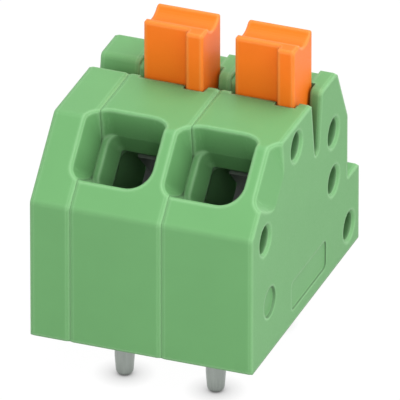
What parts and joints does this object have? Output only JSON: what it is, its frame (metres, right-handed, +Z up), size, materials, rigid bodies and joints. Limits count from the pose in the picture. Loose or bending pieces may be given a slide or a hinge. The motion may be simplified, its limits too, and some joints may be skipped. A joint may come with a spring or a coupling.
{
  "type": "pcb spring terminal block",
  "caption": "Spring-clamp wire terminal block for circuit boards, with slanted wire entries, push buttons and solder pins.",
  "frame": {"origin": "centre of the housing's underside, in the plane that meets the circuit board", "axes": "+X along the row of poles to the right, +Y from the wire side to the back, +Z up, away from the board"},
  "size_m": [0.0124, 0.016, 0.0168],
  "materials": {
    "housing_green": "satin moulded polyamide",
    "button_orange": "satin moulded plastic",
    "tinned_copper": "bright tin plating over copper alloy",
    "spring_steel": "bright strip"
  },
  "bodies": {
    "block": {"end_cover": "housing_green", "housing_1": "housing_green", "current_bar_1": "tinned_copper", "clamping_spring_1": "spring_steel", "solder_pin_front_1": "tinned_copper", "solder_pin_rear_1": "tinned_copper", "housing_2": "housing_green", "current_bar_2": "tinned_copper", "clamping_spring_2": "spring_steel", "solder_pin_front_2": "tinned_copper", "solder_pin_rear_2": "tinned_copper"},
    "button_1": {"release_button_1": "button_orange"},
    "button_2": {"release_button_2": "button_orange"}
  },
  "joints": [
    {"name": "button_press_1", "type": "slide", "parent": "block", "child": "button_1", "axis": [0, 0, -1], "range_m": [0, 0.0016], "stiffness_N_per_m": 3000, "deforming": ["clamping_spring_1"]},
    {"name": "button_press_2", "type": "slide", "parent": "block", "child": "button_2", "axis": [0, 0, -1], "range_m": [0, 0.0016], "stiffness_N_per_m": 3000, "deforming": ["clamping_spring_2"]}
  ]
}
